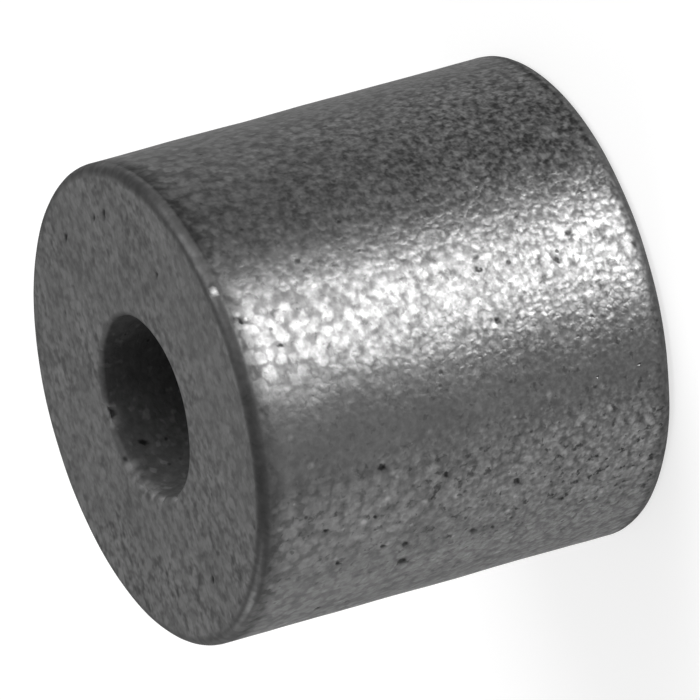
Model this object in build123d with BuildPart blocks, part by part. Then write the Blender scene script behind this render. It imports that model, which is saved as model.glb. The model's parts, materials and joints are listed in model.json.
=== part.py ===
from build123d import *
import os

# Ferrite core: one pressed and sintered sleeve with a round bore right through it.
# It stands on one end. The origin is the middle of that end, and +Z runs along the bore.

# Driving dimensions, in millimetres
outside_diameter = 3.5
bore_diameter = 1.3
core_length = 3.28
rim_radius = 0.1
mouth_radius = 0.045

# Sizes that follow from them
outside_radius = outside_diameter / 2
bore_radius = bore_diameter / 2
wall = outside_radius - bore_radius
wall_middle = bore_radius + wall / 2

# The section of the wall, turned once about the axis of the bore
with BuildPart() as ferrite_core:
    with BuildSketch(Plane.XZ) as section:
        with Locations((wall_middle, core_length / 2)):
            Rectangle(wall, core_length)
        # Both outer rims are rounded by tumbling, and the mouths of the bore are worn round
        fillet(section.vertices().group_by(Axis.X)[-1], radius=rim_radius)
        fillet(section.vertices().group_by(Axis.X)[0], radius=mouth_radius)
    revolve(axis=Axis.Z)

os.makedirs("parts", exist_ok=True)
ferrite_core.part.label = "ferrite_core"
export_step(ferrite_core.part, "parts/ferrite_core.step")
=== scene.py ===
import json
import math

import bpy
import numpy as np
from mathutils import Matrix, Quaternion, Vector, noise


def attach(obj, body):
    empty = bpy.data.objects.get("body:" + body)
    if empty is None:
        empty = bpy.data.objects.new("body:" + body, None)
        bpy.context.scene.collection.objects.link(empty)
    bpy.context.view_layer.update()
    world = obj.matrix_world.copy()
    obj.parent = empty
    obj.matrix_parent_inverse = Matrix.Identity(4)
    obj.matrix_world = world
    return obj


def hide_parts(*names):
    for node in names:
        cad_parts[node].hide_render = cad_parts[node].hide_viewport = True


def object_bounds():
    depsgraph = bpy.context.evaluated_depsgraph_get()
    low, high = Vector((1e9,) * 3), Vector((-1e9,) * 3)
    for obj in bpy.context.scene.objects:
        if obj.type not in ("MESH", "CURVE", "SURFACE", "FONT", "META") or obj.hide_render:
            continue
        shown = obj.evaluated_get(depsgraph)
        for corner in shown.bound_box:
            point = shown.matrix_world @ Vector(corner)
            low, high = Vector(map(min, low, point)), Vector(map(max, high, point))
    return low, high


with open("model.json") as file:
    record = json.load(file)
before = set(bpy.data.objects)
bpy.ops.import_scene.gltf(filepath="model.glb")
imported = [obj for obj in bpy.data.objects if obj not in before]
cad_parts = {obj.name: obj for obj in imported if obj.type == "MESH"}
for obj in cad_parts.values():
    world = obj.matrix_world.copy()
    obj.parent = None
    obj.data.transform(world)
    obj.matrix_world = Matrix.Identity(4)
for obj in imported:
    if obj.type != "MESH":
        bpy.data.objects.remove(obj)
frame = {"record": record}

# The core's own sizes, in millimetres, read from the frame
MM = 0.001
NODE = "ferrite_core"
cad_low, cad_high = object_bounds()
mounts = {mount["name"]: mount["dims"] for mount in frame["record"]["mounts"]}
OUTSIDE = mounts["outside"]["r_mm"]
BORE = mounts["bore"]["r_mm"]
LENGTH = (cad_high.z - cad_low.z) / MM
RIM = (LENGTH - mounts["outside"]["length_mm"]) / 2
MOUTH = (LENGTH - mounts["bore"]["length_mm"]) / 2

# The mesh: rings of points round the axis, one ring for each row of the section
SEGMENTS = 480
SIDE_STEP = 0.0231
END_STEP = 0.036
BORE_STEP = 0.05
RIM_STEPS = 7
MOUTH_STEPS = 5

# How many times fewer points a ring has; on a straight its first ring, those between and its last
SIDE_SHARES = (1, 1, 1)
TOP_SHARES = (1, 2, 2)
BORE_SHARES = (2, 4, 2)
BASE_SHARES = (2, 2, 1)
RIM_SHARE = 1
MOUTH_SHARE = 2

# Zones of the skin, and how sharply a corner's own skin gives way to its neighbours'
ZONES = ("side", "rim", "end", "bore")
CREST_POWER = 0.6

# Relief of the skin, in millimetres: a broad swell from pressing, and lumps of sintered grain in each zone
SKIN_DEPTH = 0.006
SWELL_SIZE = 0.55
SWELL_DEPTH = 0.005
LUMP_SIZE = 0.15
LUMP_DEPTH = 0.001
LUMP_SHARES = (1.0, 0.6, 0.5, 1.0)

# Pits of the side, as height and azimuth, with their radius: those that the photograph shows
SIDE_PITS = [
    (2.323, -29.1, 0.034), (2.070, -60.6, 0.044), (2.611, -74.4, 0.034), (2.372, -75.7, 0.032),
    (1.538, -56.1, 0.034), (1.817, -35.6, 0.028), (2.326, -81.0, 0.028), (2.088, -54.0, 0.034),
    (1.272, -2.7, 0.025), (0.707, 7.2, 0.027), (1.310, 10.1, 0.025), (2.755, -41.9, 0.022),
    (2.271, -52.4, 0.026), (2.372, -41.9, 0.022), (2.621, -53.8, 0.026), (0.848, -53.3, 0.028),
    (1.245, -43.1, 0.034), (2.911, 5.2, 0.022), (3.130, 13.0, 0.022), (1.373, -56.8, 0.026),
]
# Pits of the hidden flanks and back, invented, as height and azimuth, with their radius
BACK_PITS = [
    (2.62, 152.0, 0.034), (1.08, 171.0, 0.036), (0.64, -158.0, 0.030), (1.93, 112.0, 0.034),
    (2.88, -131.0, 0.028), (1.41, -112.0, 0.034), (2.21, -171.0, 0.026), (0.93, 97.0, 0.030),
    (1.72, 139.0, 0.026),
]
# Pits of the upper end, as distance from the axis and azimuth, with their radius
END_PITS = [
    (1.336, -75.0, 0.034), (1.391, 81.0, 0.032), (1.409, 112.0, 0.034), (1.359, 89.0, 0.028),
    (1.176, 47.0, 0.030),
]
# Pits of the bore's wall, as height and azimuth, with their radius
BORE_PITS = [(3.240, 178.5, 0.042), (3.085, -158.3, 0.030)]
# Chips along the upper mouth of the bore, as azimuth and radius
MOUTH_CHIPS = [
    (177.0, 0.075), (-177.5, 0.060), (-147.0, 0.065), (-139.0, 0.055), (-127.0, 0.075), (-117.0, 0.060),
    (-104.0, 0.045), (-83.0, 0.060),
]
# Small chip on the upper rim, coloured near white, as distance from the axis, height and azimuth, with its
# radius
RIM_CHIPS = [(1.743, 3.235, 21.8, 0.034)]

# Depth of pits and chips as a share of their radius, how far chips lie in the mouth, and their ragged grain
PIT_SHARE = 0.55
CHIP_SHARE = 0.45
CHIP_INSET = 0.3 * MOUTH
RAGGED_SIZE = 0.04

# Camera, at the photograph's viewing angle; distance and lens in millimetres, clipping in metres
VIEW_ELEVATION = 23.98
VIEW_ROLL = math.radians(-105.48)
VIEW_DISTANCE = 136.53
VIEW_LENS = 1000.0
VIEW_NEAR = 0.01
VIEW_FAR = 2.0

# Floor, with its half width in metres, and the world's light on the object and as the camera sees it
FLOOR_REACH = 0.5
FLOOR_COLOUR = (0.45, 0.45, 0.45, 1)
FLOOR_GLOW = 0.67
WORLD_LIGHT = 0.5
WORLD_SEEN = 1.0

# Lamps, as name, azimuth, elevation, distance, width, height and level
LAMPS = [
    ("key", 79, 47, 40, 28, 28, 0.5),
    ("strip", 66, 15, 40, 36, 18, 0.22),
    ("rim", -120, 27, 40, 20, 20, 0.24),
    ("back", 180, 20, 40, 20, 20, 0.1),
]
# Lamps below the floor, where the upright side mirrors them as the long highlight and the light lower flank
LOW_LAMPS = [
    ("streak", 15, -24, 30, 19, 18, 1.7),
    ("fill", -78, -24, 40, 28, 20, 0.1),
    ("fill", -150, -24, 40, 28, 20, 0.11),
]


def direction(azimuth, elevation=0.0):
    """Unit vector out from the axis, in degrees: azimuth 0 is towards the camera and 90 is +X."""
    turn = math.radians(azimuth)
    rise = math.radians(elevation)
    return Vector((math.sin(turn) * math.cos(rise), -math.cos(turn) * math.cos(rise), math.sin(rise)))


def section_rows():
    """Rows of the wall's section, up the outside, over the top end, down the bore and back under.

    A row is its radius, its height, the angle of its outward normal, how many times fewer points its ring
    has, and its weights of side, rim, end and bore skin.
    """
    rows = []
    side, rim, end, bore = np.eye(len(ZONES))

    def straight(start, stop, step, angle, shares, zone):
        first, between, last = shares
        count = max(2, round(math.dist(start, stop) / step))
        row_shares = [first] + [between] * (count - 1) + [last]
        for (radius, height), share in zip(np.linspace(start, stop, count + 1), row_shares):
            rows.append((radius, height, angle, share, zone))

    def corner(radius, height, bend, first, steps, share, before, crest, after):
        for turn in np.arange(1, steps) / steps:
            angle = first + turn * math.pi / 2
            middle = math.sin(turn * math.pi) ** CREST_POWER
            zone = middle * crest + (1 - middle) * (before * (1 - turn) + after * turn)
            place = (radius + bend * math.cos(angle), height + bend * math.sin(angle))
            rows.append((*place, angle, share, zone))

    flat_out = OUTSIDE - RIM
    flat_in = BORE + MOUTH
    lip = (end + bore) / 2
    quarter = math.pi / 2
    straight((OUTSIDE, RIM), (OUTSIDE, LENGTH - RIM), SIDE_STEP, 0, SIDE_SHARES, side)
    corner(flat_out, LENGTH - RIM, RIM, 0, RIM_STEPS, RIM_SHARE, side, rim, end)
    straight((flat_out, LENGTH), (flat_in, LENGTH), END_STEP, quarter, TOP_SHARES, end)
    corner(flat_in, LENGTH - MOUTH, MOUTH, quarter, MOUTH_STEPS, MOUTH_SHARE, end, lip, bore)
    straight((BORE, LENGTH - MOUTH), (BORE, MOUTH), BORE_STEP, 2 * quarter, BORE_SHARES, bore)
    corner(flat_in, MOUTH, MOUTH, 2 * quarter, MOUTH_STEPS, MOUTH_SHARE, bore, lip, end)
    straight((flat_in, 0), (flat_out, 0), END_STEP, 3 * quarter, BASE_SHARES, end)
    corner(flat_out, RIM, RIM, 3 * quarter, RIM_STEPS, RIM_SHARE, end, rim, side)
    return rows


def ring_points(rows):
    """Points, outward normals and zone weights of all rings, and the index where each ring starts."""
    points, normals, zones, starts = [], [], [], []
    for radius, height, angle, share, zone in rows:
        count = SEGMENTS // share
        turn = np.arange(count) * 2 * np.pi / count
        starts.append(sum(map(len, points)))
        outward = np.stack([np.cos(turn), np.sin(turn), np.zeros(count)], 1)
        points.append(outward * radius + (0, 0, height))
        normals.append(outward * math.cos(angle) + (0, 0, math.sin(angle)))
        zones.append(np.tile(zone, (count, 1)))
    return np.concatenate(points), np.concatenate(normals), np.concatenate(zones), starts


def ring_faces(rows, starts):
    """Faces between each ring and the next, and from the last ring to the first.

    Rings of the same count are joined by quads. Where one has half the points, triangles fill each step.
    """
    faces = []
    counts = [SEGMENTS // share for radius, height, angle, share, zone in rows]
    for row, here in enumerate(counts):
        after = (row + 1) % len(rows)
        there = counts[after]
        a = [starts[row] + k % here for k in range(here + 1)]
        b = [starts[after] + k % there for k in range(there + 1)]
        for k in range(min(here, there)):
            if here == there:
                faces.append((a[k], a[k + 1], b[k + 1], b[k]))
            elif here > there:
                faces.append((a[2 * k], a[2 * k + 1], b[k]))
                faces.append((a[2 * k + 1], b[k + 1], b[k]))
                faces.append((a[2 * k + 1], a[2 * k + 2], b[k + 1]))
            else:
                faces.append((a[k], b[2 * k + 1], b[2 * k]))
                faces.append((a[k], a[k + 1], b[2 * k + 1]))
                faces.append((a[k + 1], b[2 * k + 2], b[2 * k + 1]))
    return faces


def soft_noise(points, size):
    """Smooth noise at the points, about -1 to 1, with features of this size."""
    return np.array([noise.noise(point) for point in (points / size).tolist()])


def dents(points, marks):
    """How deep the points lie in round dents, from 0 to 1, and the depth there in millimetres."""
    inside = np.zeros(len(points))
    depth = np.zeros(len(points))
    for centre, radius, share in marks:
        away = np.linalg.norm(points - np.array(centre), axis=1) / radius
        bowl = np.clip(1 - away ** 2, 0, None)
        inside = np.maximum(inside, bowl)
        depth = np.maximum(depth, share * radius * bowl)
    return inside, depth


def spot(azimuth, radius, height):
    """The point at this azimuth, distance from the axis and height, in millimetres."""
    return direction(azimuth) * radius + Vector((0, 0, height))


def pit_marks():
    """Centre, radius and depth share of each pit."""
    side = [(spot(azimuth, OUTSIDE, height), radius, PIT_SHARE)
            for height, azimuth, radius in SIDE_PITS + BACK_PITS]
    end = [(spot(azimuth, away, LENGTH), radius, PIT_SHARE) for away, azimuth, radius in END_PITS]
    bore = [(spot(azimuth, BORE, height), radius, PIT_SHARE) for height, azimuth, radius in BORE_PITS]
    return side + end + bore


def chip_marks():
    """Centre, radius and depth share of each chip, along the upper mouth of the bore and on the rim."""
    mouth = [(spot(azimuth, BORE + CHIP_INSET, LENGTH - CHIP_INSET), radius, CHIP_SHARE)
             for azimuth, radius in MOUTH_CHIPS]
    rim = [(spot(azimuth, away, height), radius, CHIP_SHARE) for away, height, azimuth, radius in RIM_CHIPS]
    return mouth + rim


def make_core():
    """The core as one closed mesh, with its relief, and with zones, pits and chips as attributes."""
    rows = section_rows()
    points, normals, zones, starts = ring_points(rows)
    swell = SWELL_DEPTH * soft_noise(points, SWELL_SIZE)
    lumps = LUMP_DEPTH * soft_noise(points, LUMP_SIZE) * (zones @ np.array(LUMP_SHARES))
    pit, pit_depth = dents(points, pit_marks())
    fresh, chip_depth = dents(points, chip_marks())
    ragged = 1 + soft_noise(points, RAGGED_SIZE)
    depth = np.minimum(swell + lumps - SKIN_DEPTH, 0) - pit_depth - chip_depth * ragged
    points = points + normals * depth[:, None]
    mesh = bpy.data.meshes.new("ferrite_core_skin")
    mesh.from_pydata(points * MM, [], ring_faces(rows, starts))
    mesh.shade_smooth()
    weights = {name + "_zone": weight for name, weight in zip(ZONES, zones.T)}
    for name, values in {**weights, "pit": pit, "fresh": fresh}.items():
        layer = mesh.attributes.new(name, "FLOAT", "POINT")
        layer.data.foreach_set("value", values.astype(np.float32))
    core = bpy.data.objects.new("ferrite_core_skin", mesh)
    bpy.context.scene.collection.objects.link(core)
    return core


# Spans of a ramp that are used often, and the kinds of noise in the materials
FULL = (0.0, 1.0)
FADE = (1.0, 0.0)
PLAIN_DETAIL = 1.0
FINE_DETAIL = 2.0
PLAIN_ROUGHNESS = 0.5
FINE_ROUGHNESS = 0.6


class Nodes:
    """Adds nodes to a material or world and links them: a socket is linked, and any other value is set."""

    def __init__(self, owner):
        owner.use_nodes = True
        self.tree = owner.node_tree
        self.tree.nodes.clear()

    def add(self, kind, inputs=(), **settings):
        node = self.tree.nodes.new("ShaderNode" + kind)
        for name, value in settings.items():
            setattr(node, name, value)
        for name, value in dict(inputs).items():
            if isinstance(value, bpy.types.NodeSocket):
                self.tree.links.new(value, node.inputs[name])
            else:
                node.inputs[name].default_value = value
        return node

    def math(self, operation, a, b=0.0, c=0.0):
        return self.add("Math", {0: a, 1: b, 2: c}, operation=operation).outputs[0]

    def product(self, first, *others):
        for other in others:
            first = self.math("MULTIPLY", first, other)
        return first

    def total(self, first, *others):
        for other in others:
            first = self.math("ADD", first, other)
        return first

    def added(self, base, value, weight):
        """The base, with the value added to it by its weight."""
        return self.math("MULTIPLY_ADD", value, weight, base)

    def vector(self, operation, a, b):
        return self.add("VectorMath", {0: a, 1: b}, operation=operation).outputs[0]

    def scaled(self, a, factor):
        return self.add("VectorMath", {0: a, "Scale": factor}, operation="SCALE").outputs[0]

    def ramp(self, value, span, ends=FULL):
        """A soft step from the first end to the second, as the value crosses the span."""
        low, high = span
        to_low, to_high = ends
        sockets = {"Value": value, "From Min": low, "From Max": high, "To Min": to_low, "To Max": to_high}
        return self.add("MapRange", sockets, interpolation_type="SMOOTHSTEP").outputs[0]

    def attribute(self, name):
        return self.add("Attribute", attribute_name=name).outputs["Fac"]

    def by_zone(self, **values):
        """A value that is mixed from the zones' own values by their weights."""
        mixed = 0.0
        for zone in ZONES:
            if zone in values:
                mixed = self.added(mixed, self.attribute(zone + "_zone"), values[zone])
        return mixed

    def noise(self, vector, scale, detail=PLAIN_DETAIL, roughness=PLAIN_ROUGHNESS, out="Fac"):
        sockets = {"Vector": vector, "Scale": scale, "Detail": detail, "Roughness": roughness}
        return self.add("TexNoise", sockets).outputs[out]

    def bent(self, vector, scale, reach):
        """The place, moved about by noise, so that what follows has uneven edges."""
        wobble = self.noise(vector, scale, FINE_DETAIL, FINE_ROUGHNESS, "Color")
        middle = (0.5, 0.5, 0.5)
        return self.vector("ADD", vector, self.scaled(self.vector("SUBTRACT", wobble, middle), reach))


# Values of the skin: scales and cells are per millimetre, and a grade goes from the base to the upper end
GRADE_START = 0.2

# Grains and the gaps between them, with their uneven edges, and the painted shade in the gaps
BEND_SCALE = 14.0
BEND_REACH = 0.07
COARSE_CELLS = 12.5
COARSE_SOFTNESS = 0.55
COARSE_EDGE = (0.37, 0.68)
COARSE_GRADE = (0.2, 0.95)
FINE_CELLS = 18.0
FINE_EDGE = (0.35, 0.9)
FINE_GRADE = (1.2, 0.2)
GRAIN_TONE = 1.08
SIDE_GAP_SHADE = -0.34
GAP_PAINTED_SHADE = {"rim": -0.2, "end": -0.25, "bore": -0.15}
GAP_ROUGH = {"side": 0.12, "rim": 0.1}

# The duller and coarser flank at +X, where deeper painted shade in the gaps stands in for raking light, and
# the band of finer skin at -X, with lighter painted shade in its gaps
FLANK_START = (0.55, 1.1)
FLANK_STOP = (1.58, 1.73)
FLANK_LEFT = (1.0, 0.1)
FLANK_GAP_SHADE = -0.1
FLANK_GLOSS = -0.2
BAND_START = (-1.0, -0.6)
BAND_STOP = (-0.6, -0.15)
BAND_SAND = -0.5
BAND_GAP_SHADE = 0.14

# Short clefts with painted shade in them, darkest on the flank at -X
CLEFT_SCALE = 15.0
CLEFT_LEVELS = (0.3, 0.42)
CLEFT_GRADE = (1.0, 0.55)
CLEFT_FLANK = (-1.2, -0.7)
CLEFT_SIDE_SHADE = (-0.8, -0.42)
CLEFT_PAINTED_SHADE = {"rim": -0.2, "end": -0.25, "bore": -0.2}

# Lighter and darker sand in the skin, and its mottle on the ends
FINE_SAND = 28.0
FINE_SAND_GRADE = (1.3, 0.25)
COARSE_SAND = 16.0
COARSE_SAND_GRADE = (0.7, 0.55)
SAND_LEVELS = (0.35, 0.75)
SAND_TONE = (-0.14, 0.42)
SAND_WEIGHT = {"rim": 0.5, "bore": 0.7}
END_FINE_SAND = 0.5
MOTTLE_AWAY = (-1.5, -0.4)
MOTTLE_DEPTH = (-0.75, -1.55)
MOTTLE_ACROSS = (-1.3, 0.0)
MOTTLE_GAIN = (1.35, 1.0)
PATCH_SCALE = 2.3
PATCH_LEVELS = (0.35, 0.65)
PATCH_GAIN = (0.7, 1.3)

# Small open pores with painted shade in some cells, and glossy specks in others, as shares of a cell
PORE_CELLS = 10.0
PORE_DRAW = (0.5, 1.0)
PORE_SIZES = (0.0, 0.3)
PORE_LEAST = (0.06, 0.18)
PORE_PAINTED_SHADE = {"side": -0.6, "rim": -0.4, "end": -0.4, "bore": -0.6}
SPECK_DRAW = (0.15, 0.45)
SPECK_SIZES = (0.4, 0.0)
SPECK_GLOSS = 0.7
DISC_CORE = 0.2

# Clouds of tone, painted shade in pits, painted glints, and the tone of each zone and of its chips: fresh
# breaks at the mouth, a near-white spot at the rim chip
CLOUD_SCALE = 2.2
CLOUD_LEVELS = (0.3, 0.7)
CLOUD_GAIN = (0.93, 1.07)
PIT_EDGE = (0.0, 0.65)
PIT_PAINTED_SHADE = (1.0, 0.18)
GLINT_SCALE = 13.0
GLINT_LEVELS = (0.6, 0.72)
PAINTED_GLINT_GAIN = {"end": 0.1, "bore": 0.65}
TONE = {"side": 0.006, "rim": 0.022, "end": 0.092, "bore": 0.066}
FRESH_GAIN = {"side": 40.0, "rim": 25.0, "end": 1.3, "bore": 1.3}

# Finest relief, with its depths in millimetres
ROLLING_SCALE = 10.0
ROLLING_DEPTH = 0.0024
CAP_EDGE = (0.1, 0.8)
CAP_DEPTHS = (0.0, -0.0018)
PORE_DEPTH = -0.003
RELIEF_SHARE = {"side": 1.0, "rim": 0.6, "end": 1.2, "bore": 2.0}
RELIEF_GRADE = (1.3, 0.5)

# Roughness and gloss of each zone, with the strips of the side next to the rims
INDEX = 1.8
TOP_STRIP = (LENGTH - 2.5 * RIM, LENGTH - 0.9 * RIM)
BASE_STRIP = (0.9 * RIM, 1.5 * RIM)
SIDE_ROUGH = 0.325
STRIP_ROUGH = 0.2
ROUGH = {"rim": 0.34, "end": 0.6, "bore": 0.6}
SIDE_GLOSS = 0.49
STRIP_GLOSS = -0.17
RIM_RISE = (RIM, 3 * RIM)
RIM_GLOSS = (0.2, 0.4)
RIM_LOW_SPAN = (-0.8, 0.6)
RIM_LOW_GAIN = (0.6, 1.0)
RIM_HIGH_SPAN = (0.3, 1.6)
RIM_HIGH_GAIN = (1.0, 0.4)
GLOSS = {"end": 0.22, "bore": 0.12}

# At a glancing angle the skin scatters more and shows less of its pattern
FACING_BLEND = 0.5
GLANCE = (0.45, 0.85)
GLANCE_ROUGH = (0.0, 0.34)
GLANCE_PATTERN = (1.0, 0.25)


class Ferrite(Nodes):
    """The sintered skin. Places in it are in millimetres: across is +X, away is +Y and along is +Z."""

    def __init__(self):
        self.material = bpy.data.materials.new("ferrite")
        super().__init__(self.material)
        self.place = self.scaled(self.add("TexCoord").outputs["Object"], 1 / MM)
        self.across, self.away, self.along = self.add("SeparateXYZ", {0: self.place}).outputs
        self.uneven = self.bent(self.place, BEND_SCALE, BEND_REACH)
        self.facing = self.add("LayerWeight", {"Blend": FACING_BLEND}).outputs["Facing"]

    def build(self):
        from_grain, gap = self.grains()
        flank, band = self.patches()
        pore, speck = self.pores()
        strip = self.total(self.ramp(self.along, TOP_STRIP), self.ramp(self.along, BASE_STRIP, FADE))
        skin = self.skin(gap, flank, band, pore)
        sockets = {
            "Base Color": self.colour(skin),
            "Roughness": self.roughness(gap, strip),
            "IOR": INDEX,
            "Specular IOR Level": self.gloss(skin, flank, strip, speck),
            "Normal": self.relief(from_grain, pore),
        }
        surface = self.add("BsdfPrincipled", sockets)
        self.add("OutputMaterial", {"Surface": surface.outputs[0]})
        return self.material

    def graded(self, ends):
        """A value that changes from the base to the upper end."""
        return self.ramp(self.along, (GRADE_START, LENGTH), ends)

    def grains(self):
        """Distance from the middle of the fine grain here, and how far in a gap between grains it is."""
        soft_cells = {"Vector": self.uneven, "Scale": COARSE_CELLS, "Smoothness": COARSE_SOFTNESS}
        from_coarse = self.add("TexVoronoi", soft_cells, feature="SMOOTH_F1").outputs["Distance"]
        from_fine = self.add("TexVoronoi", {"Vector": self.uneven, "Scale": FINE_CELLS}).outputs["Distance"]
        coarse_gap = self.product(self.ramp(from_coarse, COARSE_EDGE), self.graded(COARSE_GRADE))
        fine_gap = self.product(self.ramp(from_fine, FINE_EDGE), self.graded(FINE_GRADE))
        return from_fine, self.total(coarse_gap, fine_gap)

    def patches(self):
        """Weights of the coarser flank and of the band of finer skin."""
        rise = self.ramp(self.across, FLANK_START)
        fall = self.ramp(self.across, FLANK_STOP, FLANK_LEFT)
        flank = self.product(rise, fall, self.attribute("side_zone"))
        band = self.product(self.ramp(self.across, BAND_START), self.ramp(self.across, BAND_STOP, FADE))
        return flank, band

    def pores(self):
        """Weights of the pores and of the specks. The smallest pores stay faint."""
        cell = self.add("TexVoronoi", {"Vector": self.place, "Scale": PORE_CELLS}).outputs
        pore_size = self.ramp(cell["Color"], PORE_DRAW, PORE_SIZES)
        speck_size = self.ramp(cell["Color"], SPECK_DRAW, SPECK_SIZES)
        pore = self.product(self.disc(cell["Distance"], pore_size), self.ramp(pore_size, PORE_LEAST))
        return pore, self.disc(cell["Distance"], speck_size)

    def disc(self, distance, size):
        """A soft round spot of this size."""
        return self.ramp(distance, (self.product(size, DISC_CORE), size), FADE)

    def sand(self, scale, grade):
        """Lighter and darker spots of this scale."""
        spots = self.ramp(self.noise(self.place, scale), SAND_LEVELS, SAND_TONE)
        return self.product(spots, self.graded(grade))

    def mottle(self):
        """Weight of the coarse sand on the ends, uneven from patch to patch."""
        depth = self.ramp(self.away, MOTTLE_AWAY, MOTTLE_DEPTH)
        gain = self.ramp(self.across, MOTTLE_ACROSS, MOTTLE_GAIN)
        patchy = self.ramp(self.noise(self.place, PATCH_SCALE), PATCH_LEVELS, PATCH_GAIN)
        return self.product(depth, gain, patchy)

    def clefts(self):
        """Weight of the short clefts."""
        fold = self.noise(self.uneven, CLEFT_SCALE, FINE_DETAIL, FINE_ROUGHNESS)
        return self.product(self.ramp(fold, CLEFT_LEVELS, FADE), self.graded(CLEFT_GRADE))

    def skin(self, gap, flank, band, pore):
        """How bright the skin is: lighter on the grains, with painted shade in the gaps, clefts, pores and
        pits.
        """
        coarser = self.added(self.total(flank, 1.0), band, BAND_SAND)
        fine_weight = self.by_zone(side=coarser, end=END_FINE_SAND, **SAND_WEIGHT)
        coarse_weight = self.by_zone(side=coarser, end=self.mottle(), **SAND_WEIGHT)
        sandy = self.added(1.0, self.sand(FINE_SAND, FINE_SAND_GRADE), fine_weight)
        sandy = self.added(sandy, self.sand(COARSE_SAND, COARSE_SAND_GRADE), coarse_weight)
        cloud = self.ramp(self.noise(self.place, CLOUD_SCALE, FINE_DETAIL), CLOUD_LEVELS, CLOUD_GAIN)
        # Painted shade in the gaps between grains, deeper on the +X flank and lighter in the band at -X
        side_gap_shade = self.added(self.added(SIDE_GAP_SHADE, flank, FLANK_GAP_SHADE), band, BAND_GAP_SHADE)
        grains_and_gap_shade = self.added(GRAIN_TONE, gap, self.by_zone(side=side_gap_shade, **GAP_PAINTED_SHADE))
        # Painted shade in the open pores
        painted_pore_shade = self.added(1.0, pore, self.by_zone(**PORE_PAINTED_SHADE))
        # Painted shade in the clefts, darkest on the flank at -X
        side_cleft_shade = self.ramp(self.across, CLEFT_FLANK, CLEFT_SIDE_SHADE)
        painted_cleft_shade = self.added(1.0, self.clefts(), self.by_zone(side=side_cleft_shade, **CLEFT_PAINTED_SHADE))
        # Painted shade in the pits
        painted_pit_shade = self.ramp(self.attribute("pit"), PIT_EDGE, PIT_PAINTED_SHADE)
        return self.product(sandy, cloud, grains_and_gap_shade, painted_pore_shade, painted_cleft_shade, painted_pit_shade)

    def colour(self, skin):
        """Grey of each zone, lighter in chips and in spots of painted glint."""
        fresh = self.added(1.0, self.attribute("fresh"), self.by_zone(**FRESH_GAIN))
        # Light spots painted in as glints, strongest in the bore
        painted_glint = self.ramp(self.noise(self.place, GLINT_SCALE), GLINT_LEVELS)
        painted_glints = self.added(1.0, painted_glint, self.by_zone(**PAINTED_GLINT_GAIN))
        tone = self.product(self.by_zone(**TONE), skin, fresh, painted_glints)
        return self.add("CombineColor", {"Red": tone, "Green": tone, "Blue": tone}).outputs[0]

    def roughness(self, gap, strip):
        """The skin scatters more next to the rims, at a glancing angle and between the grains."""
        side_rough = self.added(SIDE_ROUGH, strip, STRIP_ROUGH)
        between = self.product(gap, self.by_zone(**GAP_ROUGH))
        glance = self.ramp(self.facing, GLANCE, GLANCE_ROUGH)
        return self.total(self.by_zone(side=side_rough, **ROUGH), glance, between)

    def gloss(self, skin, flank, strip, speck):
        """Gloss of each zone, with the pattern of the skin and the specks in it."""
        side_gloss = self.added(self.added(SIDE_GLOSS, flank, FLANK_GLOSS), strip, STRIP_GLOSS)
        rim_gloss = self.product(
            self.ramp(self.along, RIM_RISE, RIM_GLOSS),
            self.ramp(self.across, RIM_LOW_SPAN, RIM_LOW_GAIN),
            self.ramp(self.across, RIM_HIGH_SPAN, RIM_HIGH_GAIN),
        )
        shown = self.ramp(self.facing, GLANCE, GLANCE_PATTERN)
        pattern = self.added(1.0, self.math("SUBTRACT", skin, 1.0), shown)
        specks = self.added(1.0, speck, SPECK_GLOSS)
        return self.product(self.by_zone(side=side_gloss, rim=rim_gloss, **GLOSS), pattern, specks)

    def relief(self, from_grain, pore):
        """Normal of the finest relief: rounded grains on rolling ground, and pores."""
        rolling = self.product(self.noise(self.place, ROLLING_SCALE), ROLLING_DEPTH)
        cap = self.ramp(from_grain, CAP_EDGE, CAP_DEPTHS)
        share = self.product(self.by_zone(**RELIEF_SHARE), self.graded(RELIEF_GRADE))
        height = self.product(self.total(cap, rolling, self.product(pore, PORE_DEPTH)), share)
        return self.add("Bump", {"Height": height, "Distance": MM, "Strength": 1.0}).outputs["Normal"]


def floor_material():
    """Grey card that glows for the camera and in mirror images, so that it shows as plain white."""
    material = bpy.data.materials.new("floor")
    nodes = Nodes(material)
    path = nodes.add("LightPath").outputs
    seen = nodes.math("MAXIMUM", path["Is Camera Ray"], path["Is Glossy Ray"])
    card = nodes.add("BsdfDiffuse", {"Color": FLOOR_COLOUR}).outputs[0]
    glow = nodes.add("Emission", {"Strength": nodes.product(seen, FLOOR_GLOW)}).outputs[0]
    both = nodes.add("AddShader", {0: card, 1: glow}).outputs[0]
    nodes.add("OutputMaterial", {"Surface": both})
    return material


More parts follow.
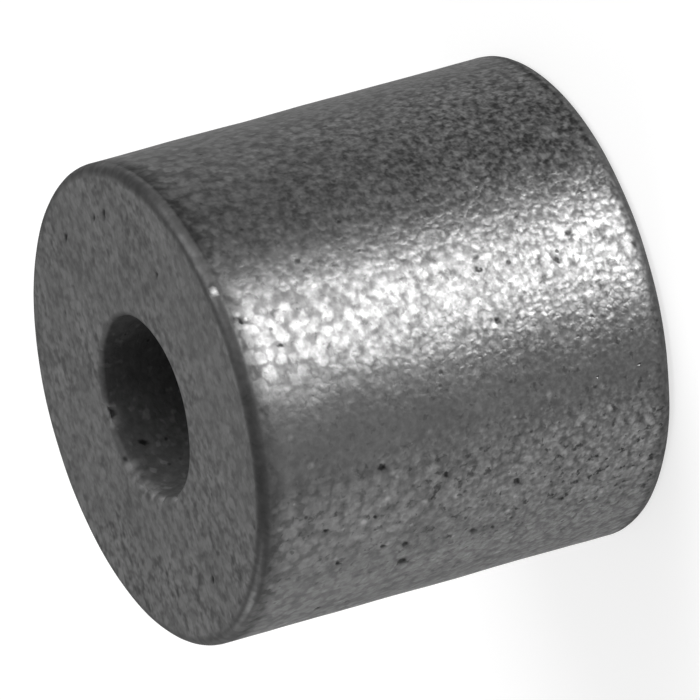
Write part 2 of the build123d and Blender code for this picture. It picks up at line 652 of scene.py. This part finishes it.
def make_floor(reach):
    """The floor under the core. It casts no shadow, so that the low lamps shine through it."""
    mesh = bpy.data.meshes.new("floor")
    corners = [(-reach, -reach, 0), (reach, -reach, 0), (reach, reach, 0), (-reach, reach, 0)]
    mesh.from_pydata(corners, [], [(0, 1, 2, 3)])
    mesh.materials.append(floor_material())
    floor = bpy.data.objects.new("floor", mesh)
    floor.location.z = cad_low.z
    floor.visible_shadow = False
    bpy.context.scene.collection.objects.link(floor)


def make_lamp(name, azimuth, elevation, distance, width, height, level):
    """A soft lamp, in degrees and millimetres. It lights a white card that faces it to this level."""
    lamp = bpy.data.lights.new(name, "AREA")
    lamp.shape = "RECTANGLE"
    lamp.size = width * MM
    lamp.size_y = height * MM
    lamp.energy = level * (math.pi * distance * MM) ** 2
    holder = bpy.data.objects.new(name, lamp)
    away = direction(azimuth, elevation)
    holder.location = (cad_low + cad_high) / 2 + away * distance * MM
    holder.rotation_mode = "QUATERNION"
    holder.rotation_quaternion = away.to_track_quat("Z", "Y")
    holder.visible_camera = False
    bpy.context.scene.collection.objects.link(holder)
    return holder


def make_world():
    """Even light from all round."""
    world = bpy.data.worlds.new("studio")
    nodes = Nodes(world)
    seen = nodes.add("LightPath").outputs["Is Camera Ray"]
    strength = nodes.ramp(seen, FULL, (WORLD_LIGHT, WORLD_SEEN))
    background = nodes.add("Background", {"Strength": strength}).outputs[0]
    nodes.add("OutputWorld", {"Surface": background})
    bpy.context.scene.world = world


def make_camera():
    """The camera looks at the middle of the core, rolled so that the core lies as in the photograph."""
    data = bpy.data.cameras.new("camera")
    data.lens = VIEW_LENS
    data.clip_start = VIEW_NEAR
    data.clip_end = VIEW_FAR
    camera = bpy.data.objects.new("camera", data)
    back = direction(0, VIEW_ELEVATION)
    camera.location = (cad_low + cad_high) / 2 + back * VIEW_DISTANCE * MM
    camera.rotation_mode = "QUATERNION"
    camera.rotation_quaternion = (-back).to_track_quat("-Z", "Y") @ Quaternion((0, 0, 1), VIEW_ROLL)
    bpy.context.scene.collection.objects.link(camera)
    bpy.context.scene.camera = camera


core = make_core()
core.data.materials.append(Ferrite().build())
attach(core, "root")
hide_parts(NODE)

make_floor(FLOOR_REACH)
make_world()
for lamp in LAMPS:
    make_lamp(*lamp)
for lamp in LOW_LAMPS:
    holder = make_lamp(*lamp)
    holder.data.cycles.use_multiple_importance_sampling = False
make_camera()
bpy.context.scene.view_settings.view_transform = "Standard"
